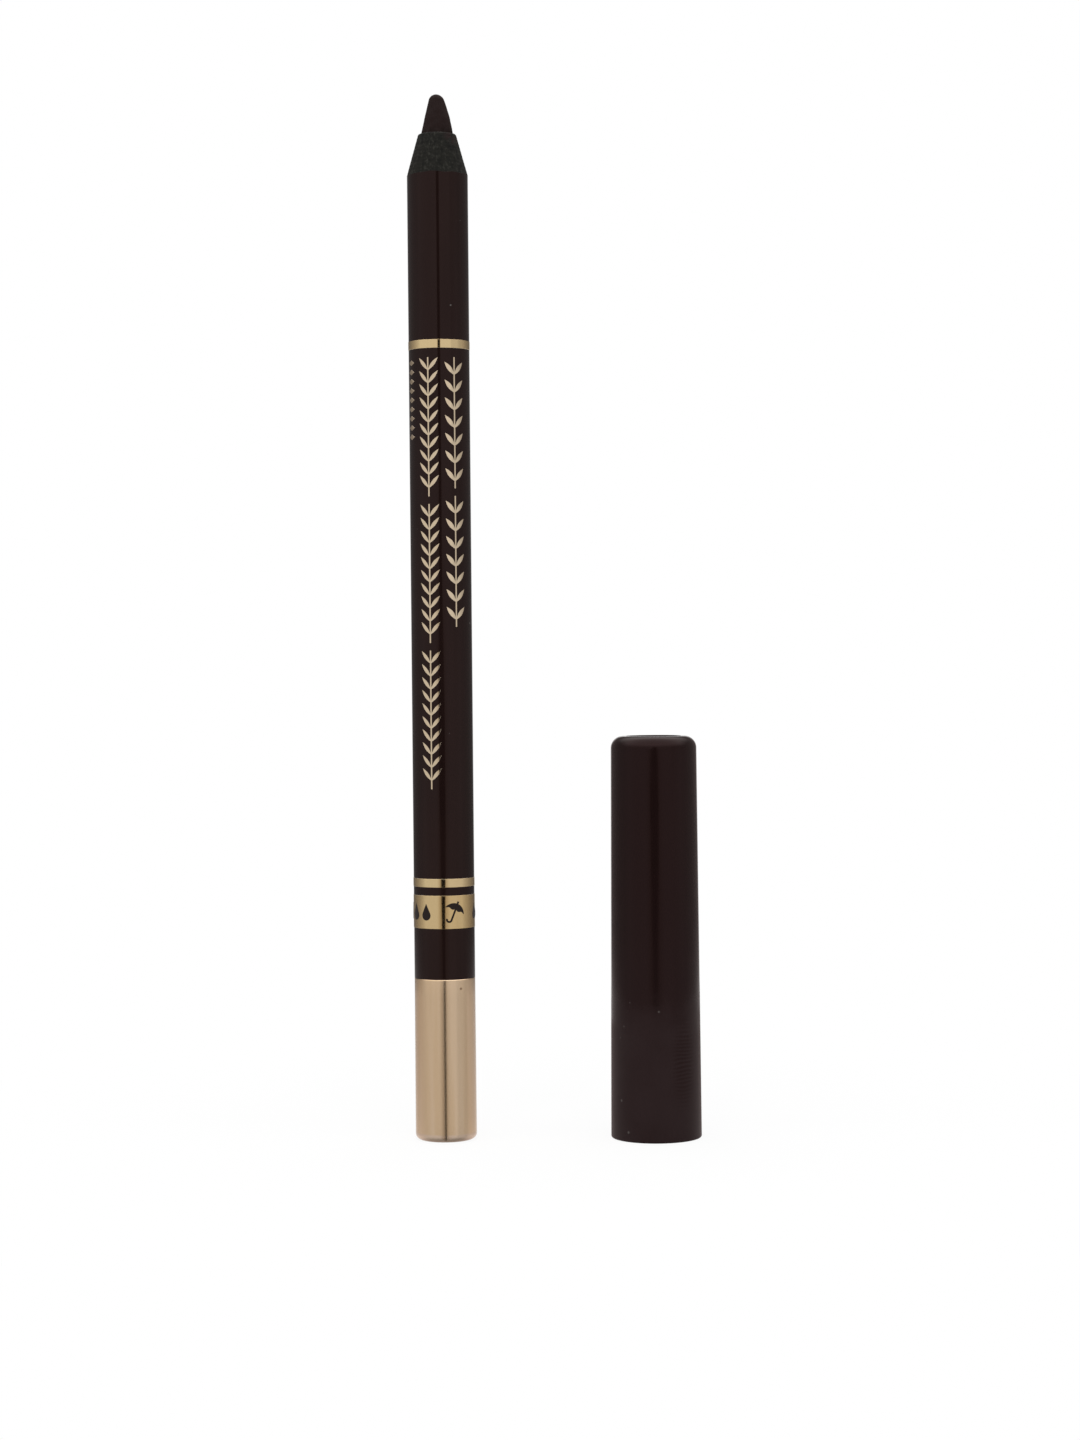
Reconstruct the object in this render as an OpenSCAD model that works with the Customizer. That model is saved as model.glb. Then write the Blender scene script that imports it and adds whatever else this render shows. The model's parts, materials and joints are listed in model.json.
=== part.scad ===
// Eyeliner pencil with its pull-off cap standing beside it. Millimetres, +Z up.
// The origin is the middle of the pencil's flat foot, and the pencil's axis is Z.
// The cap stands on its mouth at +X, as it does when it is taken off.

/* [Pencil] */
// Length of the pencil from its foot to the tip of the core
pencil_len = 125.2; // [110:0.1:140]
// Diameter of the lacquered barrel
barrel_d = 7.3; // [6.8:0.1:8]
// Diameter of the coloured core
core_d = 3.85; // [3:0.05:4.2]

/* [Sharpened end] */
// Length of core that stands out of the casing
core_exposed = 4.8; // [3:0.1:6]
// Wall of the casing at its front lip, where the core comes out
lip_wall = 0.35; // [0.25:0.05:0.6]
// Rounding of the front lip's outer edge
lip_round = 0.2; // [0.05:0.05:0.2]
// Angle between the sharpened cone and the axis
cone_angle = 15.7; // [12:0.1:20]
// Radius of the worn, rounded tip of the core
tip_r = 0.98; // [0.5:0.02:1.1]
// Height above the lip at which the core starts to taper as steeply as the cone
core_belly = 1.9; // [0.8:0.1:2]
// How much thinner the core is at that height than at the lip, on radius
core_belly_drop = 0.37; // [0.2:0.01:0.4]

/* [End cup] */
// Length of the metal cup on the pencil's rear end
cup_len = 19.5; // [14:0.5:25]
// Wall of the cup
cup_wall = 0.45; // [0.3:0.05:0.7]
// Thickness of the cup's floor
cup_floor = 0.6; // [0.4:0.1:1]
// Rounding of the cup's foot edge
cup_round = 0.76; // [0.4:0.02:1]
// Rounding inside the cup, between its wall and its floor
cup_inner_round = 0.25; // [0.1:0.05:0.3]
// Space between the cup's floor and the end of the casing inside it
cup_gap = 0.2; // [0.1:0.1:1]

/* [Foil print] */
// Thickness of the stamped foil
foil_t = 0.04; // [0.02:0.01:0.08]
// Thickness of the dark ink printed on the foil band
ink_t = 0.03; // [0.02:0.01:0.06]
// Height of each narrow ring
ring_h = 1; // [0.6:0.1:1.6]
// Bare length from the front ring's upper edge to the tip of the core
front_len = 29.55; // [26:0.05:33]
// Bare lacquer between the cup and the broad band
band_gap = 6.1; // [4:0.1:9]
// Height of the broad band
band_h = 3.95; // [3:0.05:5]
// Bare lacquer between the broad band and the rear ring
ring_gap = 1; // [0.5:0.1:2]

/* [Garlands] */
// Bare lacquer between the front ring and the garlands
garland_gap = 1.1; // [0.5:0.1:3]
// Width of the two garlands
garland_w = 2.36; // [1.8:0.02:2.6]
// Angle between a leaf and the stem
leaf_splay = 38; // [30:1:50]
// Width of the stems
stem_w = 0.16; // [0.1:0.02:0.24]
// Bare lacquer between one sprig of a garland and the next
sprig_gap = 0.9; // [0.5:0.1:2]
// Length of the right, bold garland
bold_len = 32; // [20:0.5:45]
// Turn of the bold garland round the barrel, from the front
bold_turn = 30.6; // [22:0.2:40]
// Distance from one pair of leaves to the next on the bold garland
bold_pitch = 2.1; // [1.8:0.05:2.6]
// Width of the bold garland's leaves
bold_leaf_w = 0.52; // [0.3:0.02:0.7]
// Number of sprigs that make up the bold garland
bold_sprigs = 2; // [1:1:4]
// Bare lacquer between the fine garland and the rear ring
fine_foot_gap = 10.7; // [3:0.1:20]
// Turn of the middle, fine garland round the barrel, from the front
fine_turn = -19.7; // [-28:0.2:-12]
// Distance from one pair of leaves to the next on the fine garland
fine_pitch = 1.55; // [1.3:0.05:2]
// Width of the fine garland's leaves
fine_leaf_w = 0.42; // [0.3:0.02:0.5]
// Number of sprigs that make up the fine garland
fine_sprigs = 3; // [1:1:5]
// Length of the left row of small lozenges
lozenge_row_len = 10; // [5:0.5:20]
// Turn of the row of lozenges round the barrel, from the front
lozenge_turn = -62.8; // [-80:0.2:-55]
// Width of a lozenge, round the barrel
lozenge_w = 1.3; // [0.8:0.1:1.6]
// Height of a lozenge, along the barrel
lozenge_h = 0.62; // [0.4:0.02:0.9]
// Distance from one lozenge to the next
lozenge_pitch = 1.1; // [1:0.05:1.6]

/* [Band print] */
// Width of the umbrella figure
umbrella_w = 2.5; // [1.6:0.1:2.7]
// Turn of the umbrella round the barrel, from the front
umbrella_turn = 21; // [0:0.1:60]
// Lean of the umbrella
umbrella_lean = -22; // [-40:1:40]
// Number of drops printed round the rest of the band
drop_count = 10; // [4:1:10]
// Turn between two drops
drop_step = 27.8; // [24:0.1:29]
// Height of a drop
drop_h = 2; // [1:0.1:2.4]

/* [Cap] */
// Height of the cap
cap_len = 48.3; // [42:0.1:60]
// Wall of the cap at its mouth
cap_wall = 0.95; // [0.9:0.05:1.6]
// How much the cap's radius shrinks from its mouth to its closed end
cap_taper = 0.3; // [0:0.05:0.4]
// Rounding of the closed end's edge
cap_round = 1.45; // [0.6:0.05:1.5]
// Rounding of the mouth's outer edge
mouth_round = 0.25; // [0.1:0.05:0.35]
// Wall of the closed end, above the empty chamber
cap_top_wall = 1.6; // [1.3:0.1:3]
// Diameter of the shallow dimple in the closed end
dimple_d = 6.6; // [3:0.1:6.8]
// Depth of the shallow dimple in the closed end
dimple_depth = 0.35; // [0.1:0.05:0.6]
// How far the dimple's steep wall leans in from its edge to its floor
dimple_lean = 0.06; // [0.02:0.02:0.3]
// Distance from the pencil's axis to the cap's axis
cap_x = 25.3; // [14:0.1:60]

/* [Cap liner] */
// Wall of the liner, which is pressed into the cap
liner_wall = 0.8; // [0.6:0.05:1]
// Width of the step in the cap that the liner's closed end stops against
liner_stop = 0.4; // [0.2:0.05:0.8]
// Clearance between the liner and the pencil
liner_clear = 0.05; // [0.03:0.01:0.1]
// Diameter of the liner's chamber for the sharpened tip
nose_d = 6.6; // [6:0.1:6.7]
// Wall of the liner's closed end
liner_end = 0.8; // [0.5:0.1:1.2]
// Distance that the liner sits inside the cap's mouth
liner_recess = 0.8; // [0.4:0.1:2]
// Chamfer that leads the pencil into the liner
liner_lead = 0.3; // [0.1:0.05:0.5]
// Free space between the core's tip and the liner's end when the cap is on
tip_room = 1.5; // [0.8:0.1:3]
// Bare strip left between the cap's mouth and the front ring when the cap is on
mouth_gap = 0.25; // [0.1:0.05:1]

/* [Hidden] */
$fn = 96;

lacquer_brown = "#271c1b";
core_brown = "#2b201f";
champagne_gold = "#b99f80";
foil_gold = "#c0a678";
ink_black = "#1a100b";
cap_brown = "#281d1c";
liner_black = "#1e1b1a";

// Steps in each arc of an outline
arc_steps = 10;
// Chamfer on the spigot's end and on the inner edge of the cap's mouth
edge_chamfer = 0.3;
// Length by which a cutting shape runs past the shape that it cuts
past = 1;

barrel_r = barrel_d / 2;
core_r = core_d / 2;
spigot_r = barrel_r - cup_wall;
casing_z = cup_floor + cup_gap;
lip_r = core_r + lip_wall;
lip_z = pencil_len - core_exposed;
shoulder_z = lip_z - (barrel_r - lip_r) / tan(cone_angle);

foil_r = barrel_r + foil_t;
ink_r = foil_r + ink_t;
front_ring_z = pencil_len - front_len - ring_h;
band_z = cup_len + band_gap;
band_middle_z = band_z + band_h / 2;
rear_ring_z = band_z + band_h + ring_gap;
garland_z = front_ring_z - garland_gap;
fine_len = garland_z - rear_ring_z - ring_h - fine_foot_gap;

cover = front_len - mouth_gap;
bore_r = barrel_r + liner_clear;
nose_r = nose_d / 2;
liner_r = bore_r + liner_wall;
mouth_r = liner_r + cap_wall;
seat_z = shoulder_z + (barrel_r - nose_r) / tan(cone_angle) - (pencil_len - cover) + liner_clear;
nose_top_z = cover + tip_room;
liner_top_z = nose_top_z + liner_end;

// Points of an arc of radius r about [x, y], from angle a0 to angle a1
function arc(x, y, r, a0, a1) =
    [for (i = [0:arc_steps]) let (a = a0 + (a1 - a0) * i / arc_steps) [x + r * cos(a), y + r * sin(a)]];

// Outline of a pointed leaf that starts at the origin and lies along +Y
function leaf(length, width) =
    let (half = arc_steps / 2)
    concat([for (i = [0:half]) [width / 2 * sin(180 * i / half), length * i / half]],
           [for (i = [1:half - 1]) [-width / 2 * sin(180 * i / half), length * (1 - i / half)]]);

// Outline of a falling drop, about its middle
function drop(h) =
    let (r = h * 0.3, low = -h / 2 + r, tangent = acos(r / (h / 2 - low)))
    concat([[0, h / 2]], arc(0, low, r, 90 + tangent, 450 - tangent));

// Outline of an open umbrella with a scalloped canopy, a shaft and a hooked handle, about its middle
function umbrella(w) =
    let (half_shaft = w / 22, ferrule_y = w * 0.54,
         canopy_y = w * 0.08, canopy_h = w * 0.35,
         dome_r = (w * w / 4 + canopy_h * canopy_h) / (2 * canopy_h), dome_y = canopy_y + canopy_h - dome_r,
         dome_tip = asin((canopy_y - dome_y) / dome_r), dome_top = acos(half_shaft / dome_r),
         scallop_x = w / 3, scallop_r = w * 0.16, scallop_y = canopy_y - scallop_r * 0.7,
         scallop_tip = asin((canopy_y - scallop_y) / scallop_r), scallop_top = acos(half_shaft / scallop_r),
         hook_r = w / 9, hook_y = -w * 0.42)
    concat(arc(0, dome_y, dome_r, dome_tip, dome_top),
           [[half_shaft, ferrule_y], [-half_shaft, ferrule_y]],
           arc(0, dome_y, dome_r, 180 - dome_top, 180 - dome_tip),
           arc(-scallop_x, scallop_y, scallop_r, 180 - scallop_tip, scallop_tip),
           arc(0, scallop_y, scallop_r, 180 - scallop_tip, 180 - scallop_top),
           arc(-hook_r, hook_y, hook_r - half_shaft, 0, -180),
           arc(-hook_r, hook_y, hook_r + half_shaft, -180, 0),
           arc(0, scallop_y, scallop_r, scallop_top, scallop_tip),
           arc(scallop_x, scallop_y, scallop_r, 180 - scallop_tip, scallop_tip));

// A thin film round the barrel, between two radii
module film(r0, r1, z, h) {
    translate([0, 0, z])
        difference() {
            cylinder(r = r1, h = h);
            translate([0, 0, -past])
                cylinder(r = r0, h = h + 2 * past);
        }
}

// A film cut to a flat pattern. The pattern's X runs round the barrel and its Y runs up it.
module stamped(r0, r1, z, h, turn) {
    intersection() {
        film(r0, r1, z, h);
        rotate([0, 0, turn])
            rotate([90, 0, 0])
                linear_extrude(height = r1 + past)
                    children();
    }
}

// The extruded pencil body: a tube with a sharpened front and a turned-down rear spigot
module casing() {
    round_x = lip_r - lip_round * (1 - sin(cone_angle)) / cos(cone_angle);
    color(lacquer_brown)
        rotate_extrude()
            polygon(concat(
                [[core_r, casing_z],
                 [spigot_r - edge_chamfer, casing_z],
                 [spigot_r, casing_z + edge_chamfer],
                 [spigot_r, cup_len],
                 [barrel_r, cup_len],
                 [barrel_r, shoulder_z]],
                arc(round_x, lip_z - lip_round, lip_round, cone_angle, 90),
                [[core_r, lip_z]]));
}

// The coloured core, with a worn conical tip
module core() {
    belly_r = core_r - core_belly_drop;
    belly_z = lip_z + core_belly;
    tip_z = pencil_len - tip_r;
    tangent = atan2(belly_z - tip_z, belly_r) + acos(tip_r / norm([belly_r, belly_z - tip_z]));
    color(core_brown)
        rotate_extrude()
            polygon(concat(
                [[0, casing_z], [core_r, casing_z], [core_r, lip_z], [belly_r, belly_z]],
                arc(0, tip_z, tip_r, tangent, 90)));
}

// The drawn metal cup that is pressed over the casing's spigot
module end_cup() {
    color(champagne_gold)
        rotate_extrude()
            polygon(concat(
                [[0, 0]],
                arc(barrel_r - cup_round, cup_round, cup_round, -90, 0),
                [[barrel_r, cup_len], [spigot_r, cup_len]],
                arc(spigot_r - cup_inner_round, cup_floor + cup_inner_round, cup_inner_round, 0, -90),
                [[0, cup_floor]]));
}

// A plain ring or band of foil
module foil_strip(z, h) {
    color(foil_gold)
        film(barrel_r, foil_r, z, h);
}

// A stem with pairs of leaves that splay from it, hung down from the origin
module sprig(length, pitch, leaf_w) {
    translate([-stem_w / 2, -length])
        square([stem_w, length]);
    for (i = [1:floor(length / pitch)], side = [-1, 1])
        translate([0, -i * pitch])
            rotate(side * leaf_splay)
                polygon(leaf(garland_w / 2 / sin(leaf_splay), leaf_w));
}

// A garland of foil: a row of sprigs that runs down the barrel from the front ring
module garland(length, pitch, leaf_w, sprigs, turn) {
    sprig_len = (length + sprig_gap) / sprigs - sprig_gap;
    color(foil_gold)
        stamped(barrel_r, foil_r, garland_z - length, length, turn)
            for (i = [0:sprigs - 1])
                translate([0, garland_z - i * (sprig_len + sprig_gap)])
                    sprig(sprig_len, pitch, leaf_w);
}

// A row of small foil lozenges
module lozenge_row() {
    half_w = lozenge_w / 2;
    half_h = lozenge_h / 2;
    color(foil_gold)
        stamped(barrel_r, foil_r, garland_z - lozenge_row_len, lozenge_row_len, lozenge_turn)
            for (i = [1:floor(lozenge_row_len / lozenge_pitch)])
                translate([0, garland_z - (i - 0.5) * lozenge_pitch])
                    polygon([[-half_w, 0], [0, -half_h], [half_w, 0], [0, half_h]]);
}

// The umbrella, printed in ink on the broad band
module umbrella_mark() {
    color(ink_black)
        stamped(foil_r, ink_r, band_z, band_h, umbrella_turn)
            translate([0, band_middle_z])
                rotate(umbrella_lean)
                    polygon(umbrella(umbrella_w));
}

// The drops, printed in ink round the rest of the broad band
module drop_marks() {
    first_turn = umbrella_turn + 180 - drop_step * (drop_count - 1) / 2;
    color(ink_black)
        for (i = [0:drop_count - 1])
            stamped(foil_r, ink_r, band_z, band_h, first_turn + i * drop_step)
                translate([0, band_middle_z])
                    polygon(drop(drop_h));
}

// The moulded outer shell of the cap
module cap_shell() {
    chamber_r = liner_r - liner_stop;
    chamber_top = cap_len - cap_top_wall;
    dimple_r = dimple_d / 2;
    color(cap_brown)
        translate([cap_x, 0, 0])
            rotate_extrude()
                polygon(concat(
                    [[liner_r + edge_chamfer, 0]],
                    arc(mouth_r - mouth_round, mouth_round, mouth_round, -90, 0),
                    arc(mouth_r - cap_taper - cap_round, cap_len - cap_round, cap_round, 0, 90),
                    [[dimple_r, cap_len],
                     [dimple_r - dimple_lean, cap_len - dimple_depth],
                     [0, cap_len - dimple_depth],
                     [0, chamber_top],
                     [chamber_r, chamber_top],
                     [chamber_r, liner_top_z],
                     [liner_r, liner_top_z],
                     [liner_r, edge_chamfer]]));
}

// The soft inner cup that seals round the sharpened end
module cap_liner() {
    color(liner_black)
        translate([cap_x, 0, 0])
            rotate_extrude()
                polygon([[bore_r + liner_lead, liner_recess],
                         [liner_r, liner_recess],
                         [liner_r, liner_top_z],
                         [0, liner_top_z],
                         [0, nose_top_z],
                         [nose_r, nose_top_z],
                         [nose_r, seat_z],
                         [bore_r, seat_z],
                         [bore_r, liner_recess + liner_lead]]);
}

casing();
core();
end_cup();
foil_strip(front_ring_z, ring_h);  // front_ring
foil_strip(rear_ring_z, ring_h);  // rear_ring
foil_strip(band_z, band_h);  // foil_band
garland(bold_len, bold_pitch, bold_leaf_w, bold_sprigs, bold_turn);  // bold_garland
garland(fine_len, fine_pitch, fine_leaf_w, fine_sprigs, fine_turn);  // fine_garland
lozenge_row();
umbrella_mark();
drop_marks();
cap_shell();
cap_liner();
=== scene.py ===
import json
import math

import bpy
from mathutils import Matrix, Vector, noise

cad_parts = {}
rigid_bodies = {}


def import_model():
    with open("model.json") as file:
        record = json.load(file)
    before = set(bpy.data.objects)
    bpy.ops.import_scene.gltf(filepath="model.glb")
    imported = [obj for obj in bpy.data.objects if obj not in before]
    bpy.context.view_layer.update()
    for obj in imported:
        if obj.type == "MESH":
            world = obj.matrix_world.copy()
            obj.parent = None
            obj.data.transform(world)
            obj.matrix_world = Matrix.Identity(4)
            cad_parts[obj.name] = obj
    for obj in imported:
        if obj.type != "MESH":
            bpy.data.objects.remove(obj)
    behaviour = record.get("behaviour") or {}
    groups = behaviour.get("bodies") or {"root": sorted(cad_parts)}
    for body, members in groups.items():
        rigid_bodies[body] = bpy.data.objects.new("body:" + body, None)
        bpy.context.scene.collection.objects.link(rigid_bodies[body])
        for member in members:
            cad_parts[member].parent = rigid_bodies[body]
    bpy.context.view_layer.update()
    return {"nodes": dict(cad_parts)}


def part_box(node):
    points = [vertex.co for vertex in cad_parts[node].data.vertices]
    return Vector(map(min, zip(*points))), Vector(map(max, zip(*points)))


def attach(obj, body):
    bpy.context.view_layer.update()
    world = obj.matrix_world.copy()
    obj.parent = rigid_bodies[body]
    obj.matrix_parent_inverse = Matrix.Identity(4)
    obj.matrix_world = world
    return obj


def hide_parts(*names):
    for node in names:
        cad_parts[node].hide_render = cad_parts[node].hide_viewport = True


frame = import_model()

MM = 0.001

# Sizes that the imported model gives
BARREL_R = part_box("casing")[1].x
CASING_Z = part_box("casing")[0].z
LIP_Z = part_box("casing")[1].z
CORE_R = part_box("core")[1].x
PENCIL_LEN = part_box("core")[1].z
CUP_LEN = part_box("end_cup")[1].z
FOIL_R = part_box("foil_band")[1].x
CAP_X = (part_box("cap_shell")[0].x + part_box("cap_shell")[1].x) / 2
CAP_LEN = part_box("cap_shell")[1].z
MOUTH_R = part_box("cap_shell")[1].x - CAP_X
LINER_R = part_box("cap_liner")[1].x - CAP_X
LINER_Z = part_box("cap_liner")[0].z
LINER_TOP_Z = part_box("cap_liner")[1].z

# Sizes of the sharpened end
LIP_WIDTH = 0.35 * MM
LIP_R = CORE_R + LIP_WIDTH
LIP_ROUND = 0.2 * MM
CONE_ANGLE = math.radians(15.7)
SHOULDER_Z = LIP_Z - (BARREL_R - LIP_R) / math.tan(CONE_ANGLE)
TIP_R = 0.98 * MM
# Where the core's sides bend in, above the lip
BELLY_Z = LIP_Z + 1.9 * MM
BELLY_R = CORE_R - 0.37 * MM

# Marks of use on the sharpened end: the sharpener's spiral and flats, the uneven edge
# of the lacquer, and the core's lean and dents
SPIRAL_PITCH = 0.45 * MM
SPIRAL_DEPTH = 0.006 * MM
FLAT_LENGTH = 3.0 * MM
FLAT_DEPTH = 0.012 * MM
EDGE_WANDER = 0.14 * MM
EDGE_FADE = 0.8 * MM
LEAN_OUT = 0.06 * MM
LEAN_BACK = 0.08 * MM
DENT_SIZE = 0.9 * MM
DENT_SHARE = 0.02
# How close a point of the casing lies to the shoulder, the bore or the barrel to count as on it
NEAR_SHOULDER = 0.05 * MM
NEAR_BORE = 0.01 * MM
NEAR_BARREL = 0.001 * MM
# A face of the bare cone lies at most this far below the shoulder, and at least this far
# inside the barrel
BARE_BELOW = 0.2 * MM
BARE_INSIDE = 0.004 * MM

# Sizes of the end cup
CUP_WALL = 0.45 * MM
CUP_FLOOR = 0.6 * MM
CUP_ROUND = 0.76 * MM
CUP_INNER_ROUND = 0.25 * MM
CUP_LIP_ROUND = 0.1 * MM
# The cup flares to as much as the foil stands out
CUP_FOOT_R = FOIL_R
SPIGOT_R = BARREL_R - CUP_WALL

# Sizes of the cap and its liner
CAP_TAPER = 0.3 * MM
CAP_ROUND = 1.45 * MM
MOUTH_ROUND = 0.25 * MM
CAP_TOP_WALL = 1.6 * MM
DIMPLE_R = 3.3 * MM
DIMPLE_DEPTH = 0.35 * MM
DIMPLE_LEAN = 0.06 * MM
DIMPLE_ROUND = 0.03 * MM
LINER_STOP = 0.4 * MM
BORE_GAP = 0.05 * MM
BORE_R = BARREL_R + BORE_GAP
NOSE_R = 3.3 * MM
# Height of the step in the liner that meets the cone
SEAT_Z = 20.903 * MM
LINER_END = 0.8 * MM
LINER_LEAD = 0.3 * MM
EDGE_CHAMFER = 0.3 * MM

# The foil's small chamfer, and how far its edge wanders
FOIL_CHAMFER = 0.01 * MM
FOIL_WANDER = 0.012 * MM

# Segments round a turned piece, and round the foil
SEGMENTS = 192
FOIL_SEGMENTS = 256
# Bend in degrees above which an edge is sharp, and the same for the casing's shoulder
CREASE = 30.0
SHOULDER_CREASE = 12.0


def arc(x, y, r, start, end, steps=12):
    """Points of an arc about (x, y), between two angles in degrees."""
    angles = [math.radians(start + (end - start) * i / steps) for i in range(steps + 1)]
    return [(x + r * math.cos(a), y + r * math.sin(a)) for a in angles]


def straight(start, end, step):
    """Points from start up to, but without, end, about one step apart."""
    count = max(1, round(math.dist(start, end) / step))
    return [
        (start[0] + (end[0] - start[0]) * i / count, start[1] + (end[1] - start[1]) * i / count)
        for i in range(count)
    ]


def finished(piece, node_name, slot, material, *more_materials):
    """Puts a new piece on the one body in place of its CAD node, with its materials."""
    for each in (material, *more_materials):
        piece.data.materials.append(each)
    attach(piece, "root")
    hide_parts(node_name)


def turned(name, outline, x=0.0, reshape=None, segments=SEGMENTS, crease=CREASE):
    """A closed solid turned from (radius, height) points, about the upright axis at x.
    The outline starts and ends on the axis, or closes on itself as a ring does. Edges
    with a bend above the crease angle in degrees are sharp."""
    verts, rings = [], []
    for r, z in outline:
        count = segments if r > 0 else 1
        rings.append(range(len(verts), len(verts) + count))
        for i in range(count):
            angle = 2 * math.pi * i / segments
            point = (r * math.sin(angle), -r * math.cos(angle), z)
            if reshape:
                point = reshape(*point)
            verts.append((x + point[0], point[1], point[2]))
    pairs = list(zip(rings, rings[1:]))
    if outline[0][0] > 0:
        pairs.append((rings[-1], rings[0]))
    faces = []
    for low, high in pairs:
        for i in range(segments):
            j = (i + 1) % segments
            corners = [low[i % len(low)], low[j % len(low)], high[j % len(high)], high[i % len(high)]]
            faces.append(list(dict.fromkeys(corners)))
    mesh = bpy.data.meshes.new(name)
    mesh.from_pydata(verts, [], faces)
    mesh.shade_smooth()
    mesh.set_sharp_from_angle(angle=math.radians(crease))
    mesh.validate()
    piece = bpy.data.objects.new(name, mesh)
    bpy.context.scene.collection.objects.link(piece)
    return piece


# Helpers for shader nodes

def node(tree, kind, inputs=None, **settings):
    """A shader node with its settings, and its inputs set to values or linked to outputs."""
    made = tree.nodes.new("ShaderNode" + kind)
    for key, value in settings.items():
        setattr(made, key, value)
    for key, value in (inputs or {}).items():
        if isinstance(value, bpy.types.NodeSocket):
            tree.links.new(value, made.inputs[key])
        else:
            made.inputs[key].default_value = value
    return made


def calc(tree, operation, a, b=0.0):
    """The result of a Math node."""
    return node(tree, "Math", {0: a, 1: b}, operation=operation).outputs[0]


def times(tree, *values):
    """The product of several values."""
    product = values[0]
    for value in values[1:]:
        product = calc(tree, "MULTIPLY", product, value)
    return product


def fade(tree, value, low, high, at_low=0.0, at_high=1.0):
    """A smooth change from one value to another while the input goes from low to high."""
    inputs = {"Value": value, "From Min": low, "From Max": high, "To Min": at_low, "To Max": at_high}
    return node(tree, "MapRange", inputs, interpolation_type="SMOOTHSTEP").outputs[0]


def blend(tree, factor, a, b):
    """A mix of two values."""
    return node(tree, "Mix", {0: factor, 2: a, 3: b}).outputs[0]


def mixed(tree, factor, a, b):
    """A mix of two colours."""
    return node(tree, "Mix", {0: factor, 6: a, 7: b}, data_type="RGBA").outputs[2]


def place(tree, stretch=(1.0, 1.0, 1.0)):
    """The place on the object in millimetres, times a stretch along each axis."""
    coords = node(tree, "TexCoord").outputs["Object"]
    scale = [s / MM for s in stretch]
    return node(tree, "VectorMath", {0: coords, 1: scale}, operation="MULTIPLY").outputs[0]


def height(tree):
    """The height above the floor in millimetres."""
    return node(tree, "SeparateXYZ", {0: place(tree)}).outputs[2]


def grain(tree, scale, detail=2.0, stretch=(1.0, 1.0, 1.0), roughness=0.5):
    """Noise of about scale features to a millimetre."""
    inputs = {"Vector": place(tree, stretch), "Scale": scale, "Detail": detail, "Roughness": roughness}
    return node(tree, "TexNoise", inputs).outputs["Fac"]


def bumped(tree, relief, depth):
    """A normal for a relief from 0 to 1 that stands for a depth in metres."""
    return node(tree, "Bump", {"Height": relief, "Distance": depth}).outputs["Normal"]


def surface(name):
    """A new material, its tree and its shader."""
    material = bpy.data.materials.new(name)
    material.use_nodes = True
    tree = material.node_tree
    return material, tree, tree.nodes["Principled BSDF"]


def dress(tree, shader, **inputs):
    """Sets or links inputs of the shader, named with underscores for spaces."""
    for key, value in inputs.items():
        socket = shader.inputs[key.replace("_", " ")]
        if isinstance(value, bpy.types.NodeSocket):
            tree.links.new(value, socket)
        else:
            socket.default_value = value


def colour(r, g, b):
    return (r, g, b, 1.0)


def spot_at(x, r, turn, z):
    """A place in millimetres on a piece round x: its radius, turn from the front and height."""
    angle = math.radians(turn)
    return (x / MM + r / MM * math.sin(angle), -r / MM * math.cos(angle), z)


def patch(tree, centre, size, soft=0.5):
    """A mask of an upright oval patch about a place: its half width and half height in millimetres."""
    stretch = (1 / size[0], 1 / size[0], 1 / size[1])
    middle = [c * s for c, s in zip(centre, stretch)]
    away = node(tree, "VectorMath", {0: place(tree, stretch), 1: middle}, operation="DISTANCE")
    return fade(tree, away.outputs["Value"], 1 - soft, 1.0, 1.0, 0.0)


def marks(tree, x, r, places):
    """A mask of chosen specks, each given by its turn, its height and its radius."""
    total = 0.0
    for turn, z, size in places:
        total = calc(tree, "MAXIMUM", total, patch(tree, spot_at(x, r, turn, z), (size, size)))
    return total


def specks(tree, scale, size, share):
    """A mask of small round specks: about scale cells to a millimetre, of which a share is kept."""
    cells = node(tree, "TexVoronoi", {"Vector": place(tree), "Scale": scale})
    near = fade(tree, cells.outputs["Distance"], size * 0.5, size, 1.0, 0.0)
    pick = node(tree, "SeparateColor", {0: cells.outputs["Color"]}).outputs[0]
    return calc(tree, "MULTIPLY", near, calc(tree, "LESS_THAN", pick, share))


# Materials

LACQUER = colour(0.0086, 0.0042, 0.0037)
LACQUER_PALE = colour(0.0100, 0.0050, 0.0044)
LACQUER_SHEEN = colour(1.0, 0.71, 0.68)
BARE = colour(0.0056, 0.0053, 0.0040)
BARE_FLECK = colour(0.0195, 0.0190, 0.0155)
BARE_PIT = colour(0.0020, 0.0020, 0.0014)
WAX = colour(0.0105, 0.0055, 0.0050)
# Darker wax at the core's foot: painted contact shade where it leaves the lip, with some dirt
WAX_SHADE_AND_DIRT = colour(0.0060, 0.0030, 0.0024)
WAX_SMEAR = colour(0.0135, 0.0075, 0.0068)
CUP_GOLD = colour(0.492, 0.352, 0.223)
CUP_GOLD_PALE = colour(0.520, 0.386, 0.262)
# Paler gold of the end cup's foot: a painted highlight, where the real cup's rounding reflects light
CUP_FOOT_HIGHLIGHT = colour(0.500, 0.380, 0.290)
CUP_PIT = colour(0.24, 0.15, 0.09)
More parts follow.
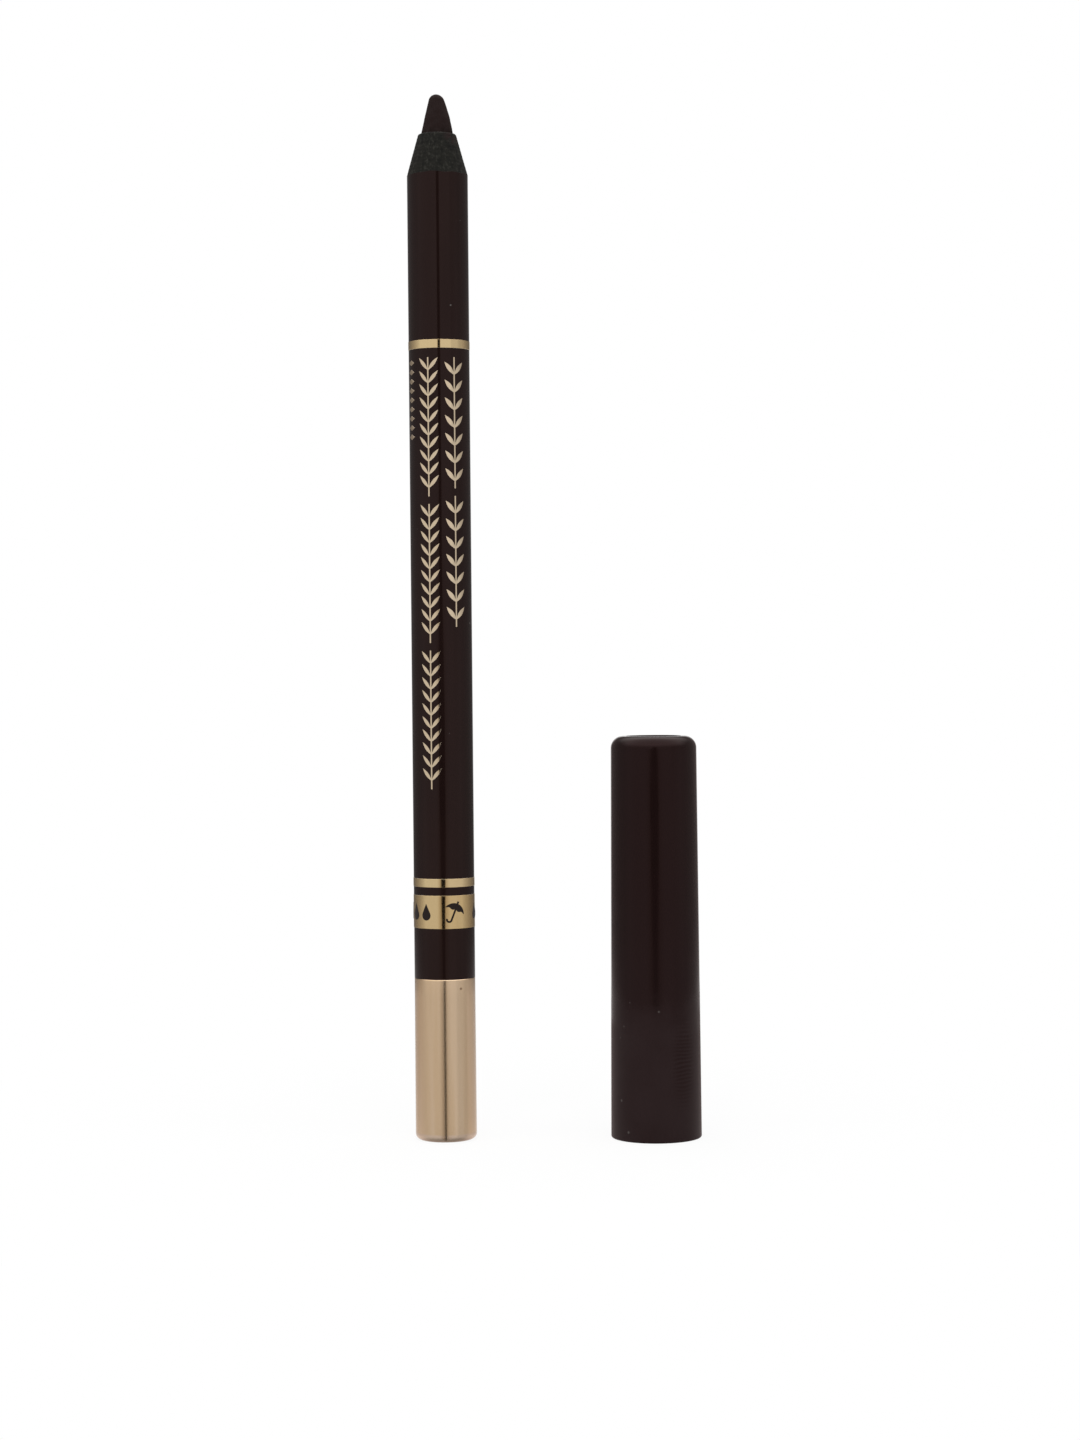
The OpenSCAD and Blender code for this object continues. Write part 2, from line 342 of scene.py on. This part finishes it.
# Each foil's colour, then its colour where it is worn and on its left side; the change on the left side
# is painted light
RING_GOLD = colour(0.585, 0.440, 0.245)
RING_GOLD_WORN_AND_LEFT_LIGHT = colour(0.590, 0.450, 0.245)
BAND_GOLD = colour(0.540, 0.385, 0.190)
BAND_GOLD_WORN_AND_LEFT_LIGHT = colour(0.555, 0.410, 0.215)
PRINT_GOLD = colour(0.600, 0.485, 0.345)
PRINT_GOLD_WORN_AND_LEFT_LIGHT = colour(0.560, 0.450, 0.315)
INK = colour(0.0095, 0.0050, 0.0036)
CAP_BROWN = colour(0.0084, 0.0040, 0.0038)
CAP_HAZE = colour(0.0140, 0.0088, 0.0090)
CAP_SHEEN = colour(1.0, 0.64, 0.64)
CAP_EDGE = colour(1.0, 0.55, 0.50)
DUST = colour(0.085, 0.078, 0.074)
LINER = colour(0.013, 0.011, 0.0103)

# Wear: the turn from the front in degrees, the height and the radius in millimetres
BARREL_SPECKS = [(25.0, 99.7, 0.13), (70.0, 62.0, 0.14)]
CUP_SPECKS = [(33.0, 18.4, 0.2)]
CAP_SPECKS = [(-3.0, 47.2, 0.17), (-52.0, 4.9, 0.2), (-40.0, 1.2, 0.2), (-47.0, 13.8, 0.16),
              (-54.0, 12.4, 0.13), (2.0, 15.7, 0.2), (-37.0, 16.7, 0.16)]
# Turn and height of the wax smear beside the core, the scratch on the cap and the finger
# mark low on its right, and the half width and half height of each
SMEAR = (60.0, LIP_Z / MM - 0.6)
SMEAR_SIZE = (2.0, 1.2)
SCRATCH = (47.0, 41.9)
SCRATCH_SIZE = (0.05, 0.9)
FINGER = (37.0, 9.5)
FINGER_SIZE = (2.2, 7.0)
# The finger mark's ridges: their pitch in millimetres and how much they wave
RIDGE_PITCH = 0.46
RIDGE_WAVE = 9.0
# Heights in millimetres over which a look ends: the core's dark foot of painted contact shade and dirt,
# the cup's painted highlight at its foot, the cap's thick haze and its thin powder
CORE_FOOT_TOP = (LIP_Z / MM + 0.2, LIP_Z / MM + 0.9)
CUP_FOOT_TOP = (0.75, 1.1)
HAZE_TOP = (17.0, 23.5)
POWDER_TOP = (10.0, 34.0)
# How far the haze's edge wanders up and down
HAZE_WANDER = 9.0

# Depth of each relief
WAVE_DEPTH = 0.003 * MM
BARE_DEPTH = 0.03 * MM
WAX_DEPTH = 0.02 * MM
CUP_LINE_DEPTH = 0.0003 * MM
WRINKLE_DEPTH = 0.001 * MM
LINER_DEPTH = 0.004 * MM


def lacquer_material():
    material, tree, shader = surface("lacquer")
    chosen = marks(tree, 0.0, BARREL_R, BARREL_SPECKS)
    dust = calc(tree, "MAXIMUM", specks(tree, 1.1, 0.07, 0.02), chosen)
    clouds = fade(tree, grain(tree, 0.3, 3.0, stretch=(1.0, 1.0, 0.2)), 0.3, 0.7)
    waves = grain(tree, 0.35, 1.0, stretch=(1.0, 1.0, 0.12))
    base = mixed(tree, dust, mixed(tree, clouds, LACQUER, LACQUER_PALE), DUST)
    dress(tree, shader, Base_Color=base,
          Roughness=fade(tree, grain(tree, 0.5, 3.0), 0.3, 0.8, 0.06, 0.11),
          Normal=bumped(tree, waves, WAVE_DEPTH),
          IOR=1.5, Specular_IOR_Level=0.146, Specular_Tint=LACQUER_SHEEN)
    return material


def bare_material():
    material, tree, shader = surface("bare_casing")
    flecks = fade(tree, grain(tree, 3.0, 3.0, stretch=(1.0, 1.0, 0.7), roughness=0.6), 0.5, 0.68)
    pits = fade(tree, grain(tree, 2.0, 2.0, stretch=(1.0, 1.0, 0.5)), 0.52, 0.34)
    base = mixed(tree, pits, mixed(tree, flecks, BARE, BARE_FLECK), BARE_PIT)
    side = patch(tree, spot_at(0.0, LIP_R, *SMEAR), SMEAR_SIZE, 0.6)
    smear = calc(tree, "MULTIPLY", side, fade(tree, grain(tree, 1.8, 3.0), 0.4, 0.6))
    dress(tree, shader, Base_Color=mixed(tree, smear, base, WAX), Roughness=0.8,
          Normal=bumped(tree, grain(tree, 4.0, 4.0), BARE_DEPTH), Specular_IOR_Level=0.14)
    return material


def wax_material():
    material, tree, shader = surface("wax_core")
    smear = fade(tree, grain(tree, 1.1, 3.0, stretch=(1.0, 1.0, 0.35)), 0.5, 0.75)
    # Darker at the core's foot, where it leaves the lip: painted contact shade with some dirt
    foot = fade(tree, height(tree), *CORE_FOOT_TOP, 1.0, 0.0)
    uneven = fade(tree, grain(tree, 1.5, 2.0), 0.3, 0.6)
    base = mixed(tree, smear, WAX, WAX_SMEAR)
    base = mixed(tree, calc(tree, "MULTIPLY", foot, uneven), base, WAX_SHADE_AND_DIRT)
    dress(tree, shader, Base_Color=base,
          Roughness=fade(tree, grain(tree, 1.5), 0.3, 0.7, 0.55, 0.7),
          Normal=bumped(tree, grain(tree, 2.4, 3.0, stretch=(1.0, 1.0, 0.5)), WAX_DEPTH),
          Specular_IOR_Level=0.06)
    return material


def cup_material():
    material, tree, shader = surface("cup_metal")
    lines = grain(tree, 1.0, 2.0, stretch=(0.4, 0.4, 12.0))
    streaks = fade(tree, grain(tree, 0.8, 2.0, stretch=(1.0, 1.0, 0.03)), 0.35, 0.65)
    pit = marks(tree, 0.0, BARREL_R, CUP_SPECKS)
    base = mixed(tree, pit, mixed(tree, streaks, CUP_GOLD, CUP_GOLD_PALE), CUP_PIT)
    # The foot's rounding takes the paler gold: a painted highlight
    foot = fade(tree, height(tree), *CUP_FOOT_TOP, 1.0, 0.0)
    base = mixed(tree, foot, base, CUP_FOOT_HIGHLIGHT)
    round_the_axis = node(tree, "Tangent", direction_type="RADIAL", axis="Z").outputs[0]
    dress(tree, shader, Base_Color=base, Metallic=0.94, Roughness=0.2,
          Anisotropic=1.0, Anisotropic_Rotation=0.25, Tangent=round_the_axis,
          Normal=bumped(tree, lines, CUP_LINE_DEPTH), Specular_IOR_Level=0.2)
    return material


def foil_material(name, bright, worn_and_left_light):
    """Stamping foil, whose colour changes where it is worn, and on its left side, where the change is
    painted light.
    """
    material, tree, shader = surface(name)
    worn_off = fade(tree, grain(tree, 0.9, 4.0, stretch=(1.0, 1.0, 0.6)), 0.4, 0.75)
    across = node(tree, "SeparateXYZ", {0: place(tree)}).outputs[0]
    # The foil's left side takes the other colour: painted light, beside the worn places
    left = fade(tree, across, 0.5, -1.0)
    worn_and_painted_left = calc(tree, "MAXIMUM", calc(tree, "MULTIPLY", worn_off, 0.5), left)
    wrinkles = grain(tree, 1.3, 3.0, stretch=(1.0, 1.0, 0.5))
    dress(tree, shader, Base_Color=mixed(tree, worn_and_painted_left, bright, worn_and_left_light), Metallic=0.98,
          Roughness=fade(tree, grain(tree, 3.0, 2.0), 0.3, 0.8, 0.05, 0.1),
          Normal=bumped(tree, wrinkles, WRINKLE_DEPTH), Specular_IOR_Level=0.2)
    return material


def ink_material():
    material, tree, shader = surface("ink")
    dress(tree, shader, Base_Color=INK, Roughness=fade(tree, grain(tree, 4.0), 0.3, 0.7, 0.35, 0.5),
          Specular_IOR_Level=0.15)
    return material


def finger_mark(tree):
    """A mask of the wavy ridges of a finger that wiped the haze off."""
    ripple = calc(tree, "MULTIPLY", grain(tree, 0.35, 1.0), RIDGE_WAVE)
    climb = times(tree, height(tree), 2 * math.pi / RIDGE_PITCH)
    ridges = calc(tree, "SINE", calc(tree, "ADD", ripple, climb))
    touched = patch(tree, spot_at(CAP_X, MOUTH_R, *FINGER), FINGER_SIZE, 0.7)
    return times(tree, touched, fade(tree, ridges, -0.6, 0.6, 0.1, 1.0))


def cap_material():
    material, tree, shader = surface("cap_plastic")
    chosen = marks(tree, CAP_X, MOUTH_R, CAP_SPECKS)
    dust = calc(tree, "MAXIMUM", specks(tree, 0.8, 0.05, 0.03), chosen)
    scratch = patch(tree, spot_at(CAP_X, MOUTH_R, *SCRATCH), SCRATCH_SIZE)
    cloud = grain(tree, 0.25, 4.0)
    cloudy = calc(tree, "ADD", height(tree), calc(tree, "MULTIPLY", cloud, HAZE_WANDER))
    low = fade(tree, cloudy, *HAZE_TOP, 1.0, 0.0)
    powder = calc(tree, "MAXIMUM", fade(tree, height(tree), *POWDER_TOP, 0.2, 0.0), low)
    clean = calc(tree, "SUBTRACT", 1.0, finger_mark(tree))
    haze = times(tree, powder, fade(tree, cloud, 0.3, 0.7, 0.75, 1.1), clean)
    waves = grain(tree, 0.2, 1.0, stretch=(1.0, 1.0, 0.15))
    base = mixed(tree, haze, CAP_BROWN, CAP_HAZE)
    base = mixed(tree, calc(tree, "MULTIPLY", calc(tree, "MAXIMUM", dust, scratch), 0.6), base, DUST)
    smooth = fade(tree, grain(tree, 0.3, 4.0), 0.3, 0.8, 0.08, 0.15)
    dress(tree, shader, Base_Color=base, Roughness=blend(tree, low, smooth, 0.5),
          Normal=bumped(tree, waves, WAVE_DEPTH),
          IOR=1.5, Specular_IOR_Level=0.112, Specular_Tint=CAP_SHEEN,
          Sheen_Weight=0.06, Sheen_Roughness=0.35, Sheen_Tint=CAP_EDGE)
    return material


def liner_material():
    material, tree, shader = surface("liner_plastic")
    dress(tree, shader, Base_Color=LINER,
          Roughness=fade(tree, grain(tree, 1.0, 3.0), 0.3, 0.7, 0.4, 0.55),
          Normal=bumped(tree, grain(tree, 5.0, 2.0), LINER_DEPTH))
    return material


# Pieces

def cone_marks(x, y, z):
    """The sharpener's shallow spiral and flats on the bare cone, and the uneven edge of the lacquer."""
    r = math.hypot(x, y)
    if z < SHOULDER_Z - NEAR_SHOULDER or r <= CORE_R + NEAR_BORE:
        return x, y, z
    cos, sin = x / r, y / r
    uneven = EDGE_WANDER * noise.noise(Vector((2.5 * cos, 2.5 * sin, 0.0)))
    z += uneven * max(0.0, 1 - max(0.0, z - SHOULDER_Z) / EDGE_FADE)
    if r > BARREL_R - NEAR_BARREL:
        return x, y, z
    spiral = math.sin(2 * math.pi * z / SPIRAL_PITCH + math.atan2(y, x))
    flats = noise.noise(Vector((1.6 * cos, 1.6 * sin, z / FLAT_LENGTH)))
    r -= SPIRAL_DEPTH * (1 + spiral) + FLAT_DEPTH * (1 + flats)
    return r * cos, r * sin, z


def is_bare(centre):
    """Whether a face of the casing, given by its centre, lies on the sharpened cone or its lip."""
    x, y, z = centre
    return z > SHOULDER_Z - BARE_BELOW and math.hypot(x, y) < BARREL_R - BARE_INSIDE


def make_casing():
    round_x = LIP_R - LIP_ROUND * (1 - math.sin(CONE_ANGLE)) / math.cos(CONE_ANGLE)
    lip_arc = arc(round_x, LIP_Z - LIP_ROUND, LIP_ROUND, math.degrees(CONE_ANGLE), 90)
    outline = [
        (CORE_R, CASING_Z),
        (SPIGOT_R - EDGE_CHAMFER, CASING_Z),
        (SPIGOT_R, CASING_Z + EDGE_CHAMFER),
        (SPIGOT_R, CUP_LEN),
        *straight((BARREL_R, CUP_LEN), (BARREL_R, SHOULDER_Z), 4 * MM),
        *straight((BARREL_R, SHOULDER_Z), lip_arc[0], 0.06 * MM),
        *lip_arc,
        (CORE_R, LIP_Z),
    ]
    piece = turned("pencil_casing", outline, reshape=cone_marks, crease=SHOULDER_CREASE)
    finished(piece, "casing", "lacquer", lacquer_material(), bare_material())
    for face in piece.data.polygons:
        if is_bare(face.center):
            face.material_index = 1


def worn(x, y, z):
    """Dents on the used core, which leans a little to one side and bellies out on the other."""
    up = (z - LIP_Z) / (PENCIL_LEN - LIP_Z)
    if up <= 0:
        return x, y, z
    lean = LEAN_OUT * math.sin(math.pi * up) - LEAN_BACK * up * up
    dents = noise.noise(Vector((x, y, z)) / DENT_SIZE)
    shrink = 1 - DENT_SHARE * min(1.0, 4 * up) * max(0.0, 0.4 - dents)
    return x * shrink + lean, y * shrink, z


def make_core():
    tip_z = PENCIL_LEN - TIP_R
    reach = math.hypot(BELLY_R, BELLY_Z - tip_z)
    tangent = math.degrees(math.atan2(BELLY_Z - tip_z, BELLY_R) + math.acos(TIP_R / reach))
    tip = arc(0.0, tip_z, TIP_R, tangent, 90, 24)
    outline = [
        (0.0, CASING_Z),
        (CORE_R, CASING_Z),
        *straight((CORE_R, LIP_Z), (BELLY_R, BELLY_Z), 0.1 * MM),
        *straight((BELLY_R, BELLY_Z), tip[0], 0.1 * MM),
        *tip[:-1],
        (0.0, PENCIL_LEN),
    ]
    finished(turned("pencil_core", outline, reshape=worn), "core", "core", wax_material())


def make_end_cup():
    lip_z = CUP_LEN - CUP_LIP_ROUND
    outline = [
        (0.0, 0.0),
        *arc(CUP_FOOT_R - CUP_ROUND, CUP_ROUND, CUP_ROUND, -90, 0, 16),
        *straight((CUP_FOOT_R, CUP_ROUND), (BARREL_R, lip_z), 2 * MM)[1:],
        *arc(BARREL_R - CUP_LIP_ROUND, lip_z, CUP_LIP_ROUND, 0, 90, 6),
        (SPIGOT_R, CUP_LEN),
        *arc(SPIGOT_R - CUP_INNER_ROUND, CUP_FLOOR + CUP_INNER_ROUND, CUP_INNER_ROUND, 0, -90, 6),
        (0.0, CUP_FLOOR),
    ]
    finished(turned("metal_end_cup", outline), "end_cup", "cup_metal", cup_material())


def ragged(x, y, z):
    """The slightly uneven edge of stamped foil."""
    return x, y, z + FOIL_WANDER * noise.noise(Vector((2.4 * x, 2.4 * y, z)) / MM)


def make_foil_strip(node_name, material):
    low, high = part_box(node_name)
    outline = [
        (BARREL_R, low.z),
        (FOIL_R - FOIL_CHAMFER, low.z),
        (FOIL_R, low.z + FOIL_CHAMFER),
        (FOIL_R, high.z - FOIL_CHAMFER),
        (FOIL_R - FOIL_CHAMFER, high.z),
        (BARREL_R, high.z),
    ]
    piece = turned("stamped_" + node_name, outline, reshape=ragged, segments=FOIL_SEGMENTS)
    finished(piece, node_name, "foil", material)


def outline_from_axis(outline):
    """The same closed outline, started where it leaves the axis."""
    last = max(i for i, point in enumerate(outline) if point[0] == 0)
    return outline[last:] + outline[:last]


def make_cap_shell():
    chamber_r = LINER_R - LINER_STOP
    chamber_top = CAP_LEN - CAP_TOP_WALL
    top_r = MOUTH_R - CAP_TAPER
    outline = [
        (LINER_R + EDGE_CHAMFER, 0.0),
        *arc(MOUTH_R - MOUTH_ROUND, MOUTH_ROUND, MOUTH_ROUND, -90, 0, 8),
        *straight((MOUTH_R, 2 * MOUTH_ROUND), (top_r, CAP_LEN - CAP_ROUND), 3 * MM)[1:],
        *arc(top_r - CAP_ROUND, CAP_LEN - CAP_ROUND, CAP_ROUND, 0, 90, 24),
        *arc(DIMPLE_R + DIMPLE_ROUND, CAP_LEN - DIMPLE_ROUND, DIMPLE_ROUND, 90, 170, 5),
        (DIMPLE_R - DIMPLE_LEAN, CAP_LEN - DIMPLE_DEPTH),
        (0.0, CAP_LEN - DIMPLE_DEPTH),
        (0.0, chamber_top),
        (chamber_r, chamber_top),
        (chamber_r, LINER_TOP_Z),
        (LINER_R, LINER_TOP_Z),
        (LINER_R, EDGE_CHAMFER),
    ]
    piece = turned("cap_outer", outline_from_axis(outline), x=CAP_X)
    finished(piece, "cap_shell", "cap_plastic", cap_material())


def make_cap_liner():
    nose_top = LINER_TOP_Z - LINER_END
    outline = [
        (0.0, nose_top),
        (NOSE_R, nose_top),
        (NOSE_R, SEAT_Z),
        (BORE_R, SEAT_Z),
        (BORE_R, LINER_Z + LINER_LEAD),
        (BORE_R + LINER_LEAD, LINER_Z),
        (LINER_R, LINER_Z),
        (LINER_R, LINER_TOP_Z),
        (0.0, LINER_TOP_Z),
    ]
    finished(turned("cap_inner", outline, x=CAP_X), "cap_liner", "liner_plastic", liner_material())


def dress_print(foil, ink):
    """Gives the stamped and printed figures, whose CAD shapes stay, their materials."""
    prints = {
        "bold_garland": foil, "fine_garland": foil, "lozenge_row": foil,
        "umbrella_mark": ink, "drop_marks": ink,
    }
    for name, material in prints.items():
        materials = frame["nodes"][name].data.materials
        materials.clear()
        materials.append(material)


# Studio

WHITE = colour(1.0, 1.0, 1.0)
# Brightness that gloss shows of the box above, where the boxes on both sides have 1
TOP_LEVEL = 2.7
# Brightness of the sky that fills the shadows
FILL_LEVEL = 0.45
FILL_GREY = colour(FILL_LEVEL, FILL_LEVEL, FILL_LEVEL)
# Tints of the studio's far corners, and of the boxes' dim edges beside the camera
CORNER = colour(1.0, 0.95, 0.93)
DIM_EDGE = colour(1.0, 0.75, 0.45)

# The camera's dark shape in gloss, in degrees: its rise above level, its half width there
# and the gap's half width away from it
LENS_RISE = -2.0
LENS_HALF_WIDTH = 11.0
GAP_HALF_WIDTH = 4.6
# Rise over which the gap moves aside and narrows, as the end cup's foot shows it
FOOT_RISE = (-7.0, -9.0)


# In the next functions around is a direction's turn from the camera, to the right, turn is
# the same without its sign, and rise is its angle above level. All are in degrees

def degrees(tree, radians):
    return calc(tree, "MULTIPLY", radians, 180 / math.pi)


def less(tree, value):
    """What is left of 1 when a value is taken off it."""
    return calc(tree, "SUBTRACT", 1.0, value)


def lens_gap(tree, around, rise):
    """The dark camera between the soft boxes, widest at its own height: 0 in it, 1 beside it."""
    aside = fade(tree, rise, -1.0, 5.0, -1.2, 1.2)
    aside = calc(tree, "ADD", aside, fade(tree, rise, *FOOT_RISE, 0.0, 1.5))
    off = calc(tree, "ABSOLUTE", calc(tree, "SUBTRACT", around, aside))
    from_lens = calc(tree, "ABSOLUTE", calc(tree, "SUBTRACT", rise, LENS_RISE))
    half_width = fade(tree, from_lens, 0.8, 4.0, LENS_HALF_WIDTH, GAP_HALF_WIDTH)
    half_width = calc(tree, "SUBTRACT", half_width, fade(tree, rise, *FOOT_RISE, 0.0, 1.4))
    beside = fade(tree, calc(tree, "SUBTRACT", off, half_width), -1.5, 2.0)
    return calc(tree, "MAXIMUM", beside, fade(tree, rise, 14.0, 24.0))


def near_camera(tree, around, turn, rise):
    """The boxes are dim beside the camera up to just above level, and more so on the left."""
    below = fade(tree, rise, -1.0, 4.0, 0.48, 0.0)
    on_left = fade(tree, around, -3.0, 6.0, 1.0, 0.6)
    return less(tree, times(tree, below, on_left, fade(tree, turn, 4.0, 26.0, 1.0, 0.0)))


def far_back(tree, turn, rise):
    """The boxes fall off behind 72 degrees, but the floor there is bright."""
    fall_off = calc(tree, "EXPONENT", times(tree, calc(tree, "SUBTRACT", 72.0, turn), 0.02))
    on_floor = fade(tree, turn, 75.0, 110.0, 1.0, 1.25)
    return blend(tree, fade(tree, rise, -5.0, -8.0), calc(tree, "MINIMUM", fall_off, 1.0), on_floor)


def right_box(tree, around, rise):
    """A stretch of the right box is dimmer, least so a little below level."""
    high = fade(tree, rise, -2.0, 3.0, 0.03, 0.18)
    low = fade(tree, rise, -4.5, -6.5, 0.0, 0.18)
    stretch = times(tree, fade(tree, around, 44.0, 50.0), fade(tree, around, 84.0, 100.0, 1.0, 0.0))
    return less(tree, times(tree, stretch, calc(tree, "MAXIMUM", high, low)))


def low_down(tree, rise):
    """The boxes are dim low down, and the floor close to the object still more so."""
    steep = fade(tree, rise, -20.0, -60.0, 1.0, 0.45)
    return times(tree, fade(tree, rise, -6.0, 3.0, 0.9, 1.0), steep)


def box_above(tree, turn, rise):
    """A mask of the box above, which starts higher up at the back."""
    later = fade(tree, turn, 80.0, 120.0, 0.0, 15.0)
    return fade(tree, calc(tree, "SUBTRACT", rise, later), 10.0, 45.0)


def white_backdrop(tree, turn, rise):
    """A mask of the backdrop behind the object, about level."""
    level = fade(tree, calc(tree, "ABSOLUTE", rise), 8.0, 20.0, 1.0, 0.0)
    return times(tree, fade(tree, turn, 155.0, 173.0), level)


def studio_reflection(tree):
    """What gloss shows in each direction: soft boxes left and right with the dark camera
    between them, dimmer corners, a bright box above, and the white backdrop behind the object."""
    axes = node(tree, "SeparateXYZ", {0: node(tree, "TexCoord").outputs["Generated"]})
    x, y, z = axes.outputs[0], axes.outputs[1], axes.outputs[2]
    around = degrees(tree, calc(tree, "ARCTAN2", x, calc(tree, "MULTIPLY", y, -1.0)))
    turn = calc(tree, "ABSOLUTE", around)
    rise = degrees(tree, calc(tree, "ARCSINE", z))
    shade = times(tree, lens_gap(tree, around, rise), near_camera(tree, around, turn, rise))
    boxes = times(tree, shade, far_back(tree, turn, rise), right_box(tree, around, rise),
                  low_down(tree, rise))
    lit = blend(tree, box_above(tree, turn, rise), boxes, TOP_LEVEL)
    backdrop = white_backdrop(tree, turn, rise)
    corner = calc(tree, "SUBTRACT", fade(tree, turn, 70.0, 115.0), backdrop)
    tint = mixed(tree, calc(tree, "MAXIMUM", corner, 0.0), WHITE, CORNER)
    tint = mixed(tree, calc(tree, "MAXIMUM", shade, backdrop), DIM_EDGE, tint)
    brightness = blend(tree, backdrop, lit, 1.0)
    return node(tree, "VectorMath", {0: tint, "Scale": brightness}, operation="SCALE").outputs[0]


def make_world():
    world = bpy.data.worlds.new("studio")
    bpy.context.scene.world = world
    world.use_nodes = True
    tree = world.node_tree
    rays = node(tree, "LightPath").outputs
    light = mixed(tree, rays["Is Glossy Ray"], FILL_GREY, studio_reflection(tree))
    seen = calc(tree, "MAXIMUM", rays["Is Camera Ray"], rays["Is Transmission Ray"])
    tree.links.new(mixed(tree, seen, light, WHITE), tree.nodes["Background"].inputs["Color"])


FLOOR_FRONT = -130 * MM
FLOOR_BACK = 700 * MM
FLOOR_SIDE = 700 * MM
FLOOR_GREY = colour(0.92, 0.92, 0.92)
# Share of plain white in what the camera sees of the floor, close to the object and away from it
FLOOR_NEAR = 0.9
FLOOR_FADE = (30 * MM, 90 * MM)


def floor_material():
    material, tree, shader = surface("floor_white")
    rays = node(tree, "LightPath").outputs
    seen = calc(tree, "MAXIMUM", rays["Is Camera Ray"], rays["Is Transmission Ray"])
    seen = calc(tree, "MAXIMUM", seen, rays["Is Glossy Ray"])
    coords = node(tree, "TexCoord").outputs["Object"]
    middle = (CAP_X / 2, 0.0, 0.0)
    away = node(tree, "VectorMath", {0: coords, 1: middle}, operation="DISTANCE").outputs["Value"]
    share = calc(tree, "MULTIPLY", seen, fade(tree, away, *FLOOR_FADE, FLOOR_NEAR, 1.0))
    dress(tree, shader, Base_Color=FLOOR_GREY, Roughness=0.9, Specular_IOR_Level=0.0)
    plain = node(tree, "Emission", {"Color": WHITE, "Strength": 1.0})
    both = node(tree, "MixShader", {0: share, 1: shader.outputs[0], 2: plain.outputs[0]})
    tree.links.new(both.outputs[0], tree.nodes["Material Output"].inputs["Surface"])
    return material


def make_floor():
    mesh = bpy.data.meshes.new("floor")
    corners = [(-FLOOR_SIDE, FLOOR_FRONT, 0.0), (FLOOR_SIDE, FLOOR_FRONT, 0.0),
               (FLOOR_SIDE, FLOOR_BACK, 0.0), (-FLOOR_SIDE, FLOOR_BACK, 0.0)]
    mesh.from_pydata(corners, [], [(0, 1, 2, 3)])
    floor = bpy.data.objects.new("floor", mesh)
    bpy.context.scene.collection.objects.link(floor)
    mesh.materials.append(floor_material())


# Each lamp's name, place and size in metres, and brightness
LAMPS = [
    ("front_box", (CAP_X / 2, -0.55, 0.35), (0.5, 0.5), 2.6),
    ("top_box", (CAP_X / 2, 0.1, 0.55), (0.5, 0.6), 1.4),
    ("left_box", (-0.5, -0.3, 0.3), (0.5, 0.5), 0.8),
    ("right_box", (0.5, -0.3, 0.3), (0.5, 0.5), 0.8),
]


def make_lamp(name, location, size, level):
    """A soft box that faces the object. Its level is how bright its surface is. Gloss shows
    the world's own soft boxes in its place."""
    lamp = bpy.data.lights.new(name, "AREA")
    lamp.shape = "RECTANGLE"
    lamp.size, lamp.size_y = size
    lamp.energy = level * math.pi * size[0] * size[1]
    holder = bpy.data.objects.new(name, lamp)
    bpy.context.scene.collection.objects.link(holder)
    holder.location = location
    aim = Vector((CAP_X / 2, 0.0, PENCIL_LEN / 3)) - Vector(location)
    holder.rotation_mode = "QUATERNION"
    holder.rotation_quaternion = aim.to_track_quat("-Z", "Y")
    holder.visible_glossy = False


def clear_reflections():
    """The pieces and the floor don't show in gloss, which shows the studio as if each piece
    stood alone in it."""
    for each in bpy.context.scene.objects:
        if each.type == "MESH":
            each.visible_glossy = False


# The photo's camera, which looks a little down and leans to its side
CAMERA_LENS = 74.6
CAMERA_SENSOR = 36.0
CAMERA_PLACE = (11.77 * MM, -358.2 * MM, 58.0 * MM)
CAMERA_DOWN = math.radians(1.23)
CAMERA_LEAN = math.radians(0.505)


def make_camera():
    lens = bpy.data.cameras.new("camera")
    lens.lens = CAMERA_LENS
    lens.sensor_width = CAMERA_SENSOR
    lens.clip_start = 10 * MM
    camera = bpy.data.objects.new("camera", lens)
    bpy.context.scene.collection.objects.link(camera)
    camera.location = CAMERA_PLACE
    camera.rotation_euler = (math.pi / 2 - CAMERA_DOWN, CAMERA_LEAN, 0.0)
    bpy.context.scene.camera = camera


bpy.context.scene.view_settings.view_transform = "Standard"
ring_foil = foil_material("ring_foil", RING_GOLD, RING_GOLD_WORN_AND_LEFT_LIGHT)
band_foil = foil_material("band_foil", BAND_GOLD, BAND_GOLD_WORN_AND_LEFT_LIGHT)
print_foil = foil_material("print_foil", PRINT_GOLD, PRINT_GOLD_WORN_AND_LEFT_LIGHT)
make_camera()
make_world()
for lamp in LAMPS:
    make_lamp(*lamp)
make_casing()
make_core()
make_end_cup()
make_foil_strip("front_ring", ring_foil)
make_foil_strip("rear_ring", ring_foil)
make_foil_strip("foil_band", band_foil)
make_cap_shell()
make_cap_liner()
dress_print(print_foil, ink_material())
make_floor()
clear_reflections()
